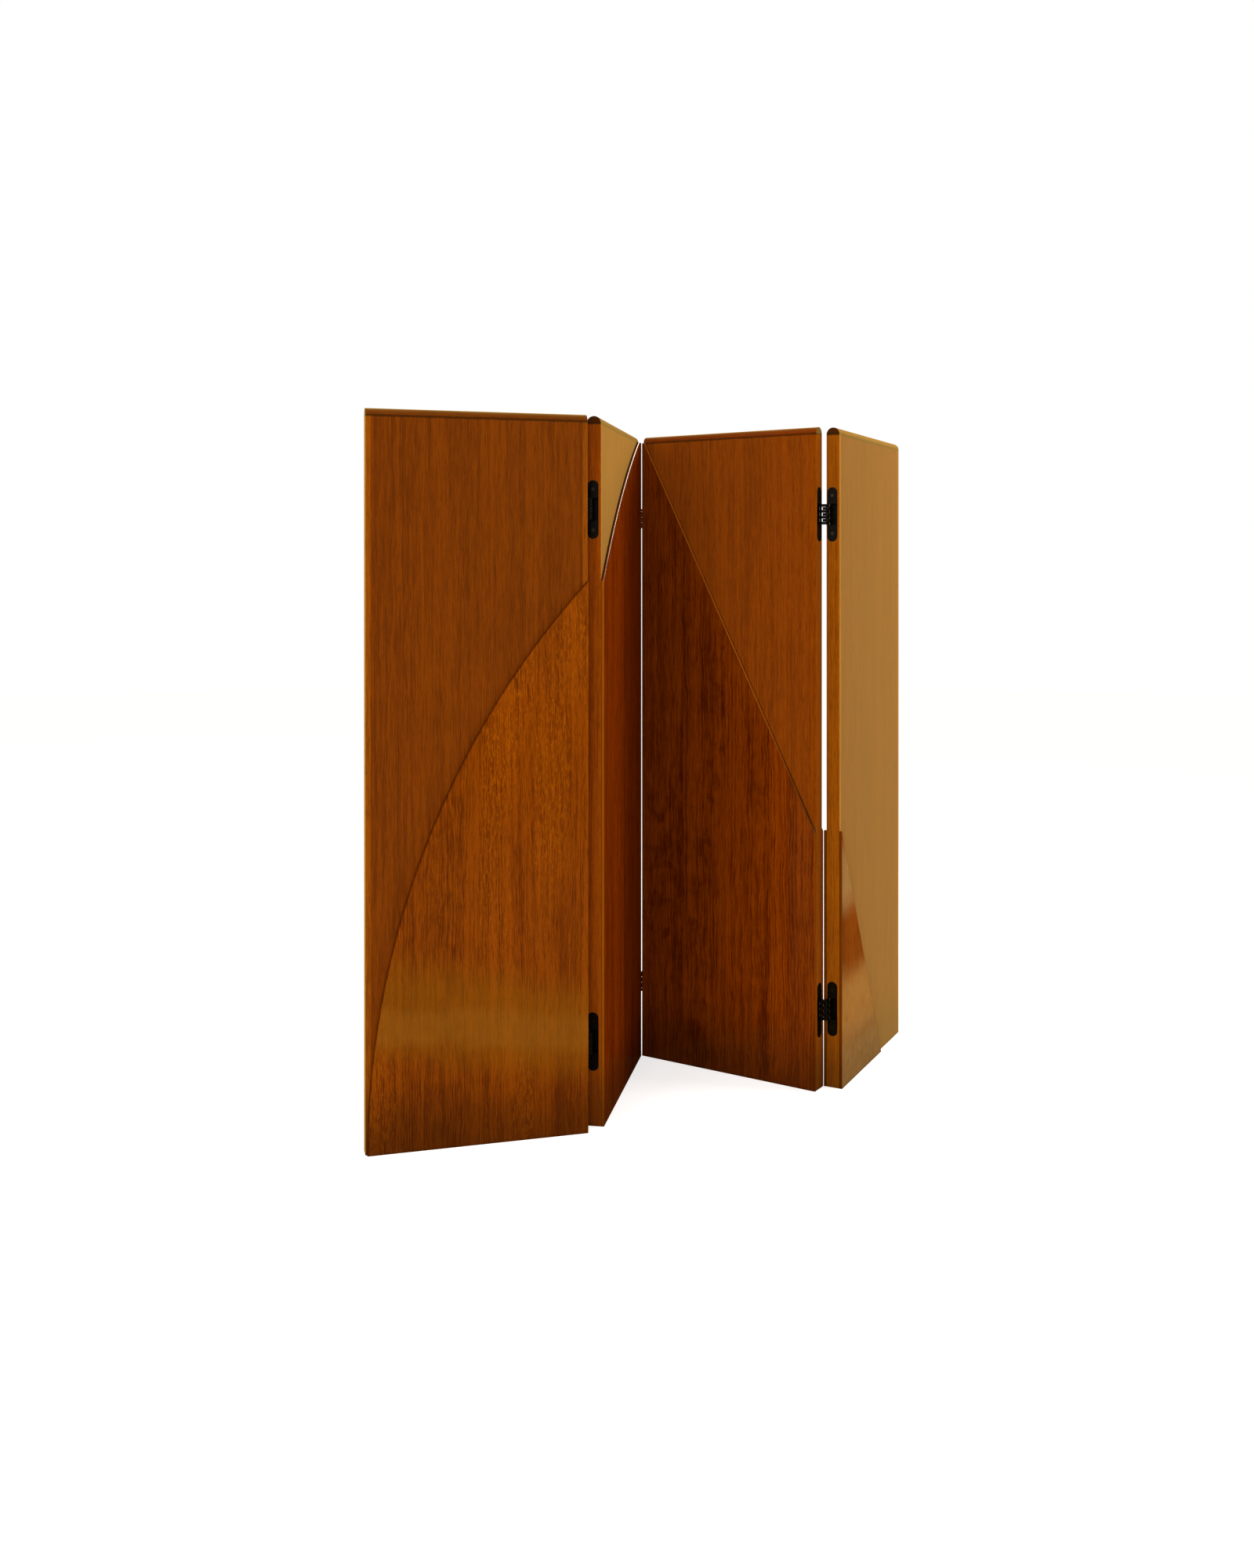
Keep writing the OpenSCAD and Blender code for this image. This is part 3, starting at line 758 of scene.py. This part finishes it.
# Each field's rounded rim, the wall below it and its faces at the panel's ends: a tone that
# paints the light and shade on it, how strongly it covers the grain, and how far dirt, with
# painted contact shade along the rim, reaches out of the corner
RIM_PAINTED_LIGHT_AND_DIRT = ((PORE, 0.55, RIM_DIRT_AND_SHADE), (PORE, 0.25, RIM_DIRT_AND_SHADE),
             ((0.36, 0.09, 0.002, 1.0), 0.7, RIM_DIRT_AND_SHADE), ((0.33, 0.09, 0.004, 1.0), 0.5, RIM_DIRT_AND_SHADE))
WALL_PAINTED_LIGHT_AND_DIRT = (RIM_PAINTED_LIGHT_AND_DIRT[0], ((0.16, 0.040, 0.0010, 1.0), 0.6, RIM_DIRT_AND_SHADE), RIM_PAINTED_LIGHT_AND_DIRT[2],
              RIM_PAINTED_LIGHT_AND_DIRT[3])
FACE_PAINTED_LIGHT_AND_DIRT = (((0.20, 0.05, 0.001, 1.0), 0.5, SEAM_DIRT),
              ((0.36, 0.100, 0.004, 1.0), 0.7, SEAM_DIRT),
              ((0.26, 0.060, 0.001, 1.0), 0.6, SEAM_DIRT),
              ((0.16, 0.04, 0.001, 1.0), 0.6, SEAM_DIRT))
# The lower part of panel 3's rim is in shade
RIM_SHADES = ((), (), ((0.45, 0.48, 0.0, 0.95, DIRT_AND_SHADE),), ())
DULL_RIM = {"Roughness": 0.45, "Peel": 0.0004, "Specular IOR Level": 0.0}
WARM_RIM = {**DULL_RIM, "Specular IOR Level": 0.3, "Specular Tint": (1.0, 0.6, 0.2, 1.0)}
BRIGHT_RIM = {"Roughness": 0.22, "Peel": 0.0002, "Specular IOR Level": 1.0, "Coat Weight": 1.0,
              "Coat IOR": 2.0, "Coat Roughness": 0.16}
RIM_SKINS = (DULL_RIM, BRIGHT_RIM, WARM_RIM, DULL_RIM)
WALL_SKINS = (DULL_RIM, DULL_RIM, WARM_RIM, DULL_RIM)

# Every panel's wood is cut from other logs, so each has its own seed
BOARD_LOOKS = [toned(BOARD_LOOK, BOARD_PAINTED_LIGHT[i], 1.37 * i + 0.41) for i in range(PANELS)]
EDGE_LOOKS = [toned(EDGE_LOOK, EDGE_PAINTED_LIGHT[i], 2.13 * i + 0.7) for i in range(PANELS)]
RAIL_LOOKS = [toned(RAIL_LOOK, RAIL_PAINTED_LIGHT[i], 1.91 * i + 0.2) for i in range(PANELS)]
SEEDED_FIELDS = [{**look, "Seed": seed} for look, seed in zip(FIELD_LOOKS, FIELD_SEEDS)]
FIELD_DEPTHS = [HALF_T + FIELD_T] * PANELS

VENEERS = woods("board_veneer", BOARD_LOOKS, BOARD_SKINS)
EDGE_WOODS = woods("edge_wood", EDGE_LOOKS, EDGE_SKINS)
RAIL_WOODS = woods("rail_wood", RAIL_LOOKS, [SATIN] * PANELS, sideways=[True] * PANELS)
FIELD_WOODS = woods("field_wood", SEEDED_FIELDS, FIELD_SKINS, depth=FIELD_DEPTHS,
                    blooms=FIELD_PAINTED_REFLECTIONS)
RIM_WOODS = woods("rim_wood", SEEDED_FIELDS, RIM_SKINS, depth=FIELD_DEPTHS, blooms=RIM_SHADES,
                  rim=RIM_PAINTED_LIGHT_AND_DIRT)
WALL_WOODS = woods("wall_wood", SEEDED_FIELDS, WALL_SKINS, depth=FIELD_DEPTHS,
                   blooms=RIM_SHADES, rim=WALL_PAINTED_LIGHT_AND_DIRT)
FACE_WOODS = woods("face_wood", SEEDED_FIELDS, [DULL_RIM] * PANELS, depth=FIELD_DEPTHS,
                   rim=FACE_PAINTED_LIGHT_AND_DIRT)
CUP_BLACK = new_material("hinge_black", casting_finish(0.04), {"Specular IOR Level": 0.045})
LINK_BLACK = new_material("link_black", casting_finish(0.05), {"Specular IOR Level": 0.06})
PIN_STEEL = new_material("pin_steel", steel_finish(PIN_TONE), {"Metallic": 1.0})
SCREW_STEEL = new_material("screw_steel", steel_finish(SCREW_TONE), {"Metallic": 1.0})

# ---- Panels -----------------------------------------------------------------


def top_rail(i):
    """A half-round bar along the panel, with its ends eased."""
    bm = bmesh.new()
    stand = Matrix.Rotation(math.radians(90), 4, "Y")
    bmesh.ops.create_circle(bm, cap_ends=True, segments=ROUND_FACETS, radius=HALF_T,
                            matrix=Matrix.Translation((-HALF_W, 0, SPRING_Z)) @ stand)
    trim(bm, (0, 0, SPRING_Z), (0, 0, -1))
    grown = bmesh.ops.extrude_face_region(bm, geom=bm.faces[:])["geom"]
    bmesh.ops.translate(bm, verts=[v for v in grown if isinstance(v, bmesh.types.BMVert)],
                        vec=(PANEL_W, 0, 0))
    bmesh.ops.recalc_face_normals(bm, faces=bm.faces[:])
    ends = [e for e in bm.edges
            if all(HALF_W - abs(v.co.x) < SAME_PLACE for v in e.verts)
            and max(v.co.z for v in e.verts) > SPRING_Z + SAME_PLACE]
    soften(bm, ends, RAIL_END_ROUND, RAIL_END_FACETS)
    long_feet = [e for e in bm.edges
                 if all(abs(v.co.z - SPRING_Z) < SAME_PLACE for v in e.verts)
                 and abs(e.verts[0].co.x - e.verts[1].co.x) > HALF_W]
    soften(bm, long_feet, RAIL_GROOVE, ARRIS_FACETS)
    return bm


def edge_strip(node, i):
    """The strip with its hinge mortises, its two outer corners eased."""
    bm = copy_of(node)
    inward = PLACES[i].inverted()
    outer = []
    for edge in bm.edges:
        ends = [inward @ v.co for v in edge.verts]
        upright = abs(ends[0].z - ends[1].z) > SPRING_Z / 2
        at_corner = all(HALF_W - abs(p.x) < SAME_PLACE and HALF_T - abs(p.y) < SAME_PLACE
                        for p in ends)
        if upright and at_corner:
            outer.append(edge)
    soften(bm, outer, ARRIS, ARRIS_FACETS)
    return bm


def casting(node):
    """A cast cup or set of links with its sharp edges broken."""
    bm = copy_of(node)
    soften(bm, sharp_edges(bm, CASTING_CREASE), CASTING_ROUND, ARRIS_FACETS)
    return bm


def figure_face(bm, i):
    """The whole figure's outline laid over panel i, in the plane of the board's front."""
    unrolled = Vector((-i * PANEL_W - HALF_W, -HALF_T, 0))
    upright = Matrix.Rotation(math.radians(90), 4, "X")
    if i < PANELS // 2:
        centre = unrolled + Vector((ARC_TOE + ARC_R, 0, 0))
        bmesh.ops.create_circle(bm, cap_ends=True, segments=ARC_CHORDS, radius=ARC_R,
                                matrix=Matrix.Translation(centre) @ upright)
        return
    bmesh.ops.create_grid(bm, x_segments=1, y_segments=1, size=2 * SCREEN_H,
                          matrix=Matrix.Translation((0, -HALF_T, 0)) @ upright)
    top = unrolled + Vector((2 * PANEL_W + SLOPE_LEDGE, 0, SPRING_Z))
    foot = unrolled + Vector((3 * PANEL_W + SLOPE_FOOT, 0, 0))
    along = foot - top
    trim(bm, top, (-along.z, 0, along.x))


def raised_field(i, back):
    """A slab with a rounded rim on the panel's face, cut at the panel's ends."""
    bm = bmesh.new()
    figure_face(bm, i)
    trim(bm, (HALF_W, 0, 0), (1, 0, 0))
    trim(bm, (-HALF_W, 0, 0), (-1, 0, 0))
    trim(bm, (0, 0, 0), (0, 0, -1))
    trim(bm, (0, 0, SPRING_Z), (0, 0, 1))
    grown = bmesh.ops.extrude_face_region(bm, geom=bm.faces[:])["geom"]
    bmesh.ops.translate(bm, verts=[v for v in grown if isinstance(v, bmesh.types.BMVert)],
                        vec=(0, -FIELD_T, 0))
    bmesh.ops.recalc_face_normals(bm, faces=bm.faces[:])
    front = -HALF_T - FIELD_T
    borders = (lambda p: abs(p.x - HALF_W), lambda p: abs(p.x + HALF_W),
               lambda p: abs(p.z), lambda p: abs(p.z - SPRING_Z))

    def on_front(edge):
        return all(abs(v.co.y - front) < SAME_PLACE for v in edge.verts)

    def on_border(edge):
        return any(all(far(v.co) < SAME_PLACE for v in edge.verts) for far in borders)

    def at_panel_end(edge):
        return all(HALF_W - abs(v.co.x) < SAME_PLACE and abs(v.co.y + HALF_T) < SAME_PLACE
                   for v in edge.verts)

    def is_long(edge):
        return edge.calc_length() > LONG_EDGE

    rim = [e for e in bm.edges if on_front(e) and not on_border(e)]
    for face in {f for e in rim for f in e.link_faces if abs(f.normal.y) < RIM_FLAT}:
        face.material_index = WALL_PLACE
    for face in bm.faces:
        if all(HALF_W - abs(v.co.x) < SAME_PLACE for v in face.verts):
            face.material_index = FACE_PLACE
    soften(bm, rim, RIM_ROUND, RIM_FACETS)
    bm.normal_update()
    for face in bm.faces:
        if RIM_FLAT < -face.normal.y < RIM_STEEP:
            face.material_index = RIM_PLACE
    straight = [e for e in bm.edges if on_border(e) and is_long(e)
                and (on_front(e) or at_panel_end(e))]
    soften(bm, straight, ARRIS, ARRIS_FACETS)
    if back:
        bmesh.ops.mirror(bm, geom=everything(bm), axis="Y", merge_dist=-1)
        bmesh.ops.delete(bm, geom=[v for v in bm.verts if v.co.y < 0], context="VERTS")
    return bm


# ---- Assembly ---------------------------------------------------------------

for i in range(PANELS):
    panel = f"panel_{i + 1}"
    paint(f"{panel}_board", VENEERS[i])
    finish_piece(f"{panel}_rail", top_rail(i), panel, [RAIL_WOODS[i]],
                 [f"{panel}_top_rail"], PLACES[i])
    for end in ("left", "right"):
        node = f"{panel}_{end}_edge"
        finish_piece(f"{panel}_{end}_strip", edge_strip(node, i), panel,
                     [EDGE_WOODS[i]], [node])
    for face in ("front", "back"):
        finish_piece(f"{panel}_{face}_raised", raised_field(i, face == "back"), panel,
                     [FIELD_WOODS[i], RIM_WOODS[i], WALL_WOODS[i], FACE_WOODS[i]],
                     [f"{panel}_{face}_field"], PLACES[i])
    paint(f"{panel}_hinge_screws", SCREW_STEEL)

BODY_OF = {node: body for body, members in frame["record"]["behaviour"]["bodies"].items()
           for node in members}
for j in range(1, HINGED_JOINTS + 1):
    for half in ("left", "right"):
        for part in ("low_cup", "high_cup", "links"):
            node = f"joint_{j}_{half}_{part}"
            slot, black = ("link_black", LINK_BLACK) if part == "links" else (
                "hinge_black", CUP_BLACK)
            finish_piece(f"{node}_cast", casting(node), BODY_OF[node], [black], [node])
        paint(f"joint_{j}_{half}_pins", PIN_STEEL)
    paint(f"joint_{j}_centre_pins", PIN_STEEL)

# ---- Studio -----------------------------------------------------------------

# The camera stands where the photograph's did
CAMERA_PLACE = (0.1304, -3.7019, 1.3087)
CAMERA_YAW = 0.0602
CAMERA_LENS = 32.89
CAMERA_DROP = -0.1305
# What the lacquer mirrors: a warm room, where the camera sees plain white
ROOM_GLOW = (1.0, 0.72, 0.22, 1.0)
ROOM_FLOOR = (0.60, 0.40, 0.12, 1.0)
WHITE = (1.0, 1.0, 1.0, 1.0)
SOFT_WHITE = (1.0, 0.97, 0.93, 1.0)
AMBIENT = 0.45
FLOOR_RADIUS = 14.0
FLOOR_PALE = (0.86, 0.86, 0.86, 1.0)
FLOOR_GLOW = 0.64
WARM = (1.0, 0.96, 0.90)
MIDDLE = (0.0, 0.0, 0.8)
# Name, place, target, size, watts and colour
LAMPS = (
    ("key", (2.6, -3.4, 3.0), MIDDLE, (1.2, 1.2), 8.0, WARM),
    ("front", (-0.5, -4.4, 2.2), MIDDLE, (1.6, 1.6), 50.0, (1.0, 0.96, 0.91)),
    ("fill", (-2.6, -3.6, 2.2), MIDDLE, (2.0, 2.0), 52.0, (1.0, 0.96, 0.91)),
    ("window", (3.6, 0.0, 2.4), MIDDLE, (1.2, 1.6), 48.0, WARM),
    ("skylight", (1.6, 1.5, 3.2), (0.0, 0.0, 1.2), (2.0, 2.0), 60.0, WARM),
)


def add_camera():
    data = bpy.data.cameras.new("camera")
    data.lens = CAMERA_LENS
    data.shift_y = CAMERA_DROP
    camera = bpy.data.objects.new("camera", data)
    camera.location = CAMERA_PLACE
    camera.rotation_euler = (math.radians(90), 0, CAMERA_YAW)
    bpy.context.scene.collection.objects.link(camera)
    bpy.context.scene.camera = camera


def add_lamp(name, place, target, size, watts, colour):
    data = bpy.data.lights.new(name, "AREA")
    data.shape = "RECTANGLE"
    data.size, data.size_y = size
    data.energy = watts
    data.color = colour
    lamp = bpy.data.objects.new(name, data)
    lamp.location = place
    aim = Vector(target) - Vector(place)
    lamp.rotation_euler = aim.to_track_quat("-Z", "Y").to_euler()
    bpy.context.scene.collection.objects.link(lamp)


def sees_backdrop(tree):
    """1 for rays that should see the white background."""
    path = add(tree, "ShaderNodeLightPath").outputs
    return maths(tree, "MAXIMUM", path["Is Camera Ray"], path["Is Transmission Ray"])


def add_world():
    world = bpy.data.worlds.new("studio")
    bpy.context.scene.world = world
    world.use_nodes = True
    tree = world.node_tree
    background = only(tree, "BACKGROUND")
    seen = sees_backdrop(tree)
    mirrored = add(tree, "ShaderNodeLightPath").outputs["Is Glossy Ray"]
    colour = mixed(tree, mirrored, SOFT_WHITE, ROOM_GLOW)
    colour = mixed(tree, seen, colour, WHITE)
    tree.links.new(colour, background.inputs["Color"])
    strength = maths(tree, "MULTIPLY_ADD", seen, 1.0 - AMBIENT, AMBIENT)
    tree.links.new(strength, background.inputs["Strength"])


def floor_finish(tree, shader):
    """A pale floor that the lacquer mirrors as a brown one."""
    mirrored = add(tree, "ShaderNodeLightPath").outputs["Is Glossy Ray"]
    tree.links.new(mixed(tree, mirrored, FLOOR_PALE, ROOM_FLOOR), shader.inputs["Base Color"])
    glow = maths(tree, "MULTIPLY", sees_backdrop(tree), FLOOR_GLOW)
    tree.links.new(glow, shader.inputs["Emission Strength"])


def add_floor():
    bm = bmesh.new()
    bmesh.ops.create_circle(bm, cap_ends=True, segments=ROUND_FACETS, radius=FLOOR_RADIUS)
    mesh = bpy.data.meshes.new("floor")
    bm.to_mesh(mesh)
    bm.free()
    floor = bpy.data.objects.new("floor", mesh)
    bpy.context.scene.collection.objects.link(floor)
    mesh.materials.append(new_material("studio_floor", floor_finish,
                                       {"Roughness": 0.7, "Specular IOR Level": 0.1,
                                        "Emission Color": WHITE}))


add_camera()
for lamp in LAMPS:
    add_lamp(*lamp)
add_world()
add_floor()
bpy.context.scene.view_settings.view_transform = "Standard"
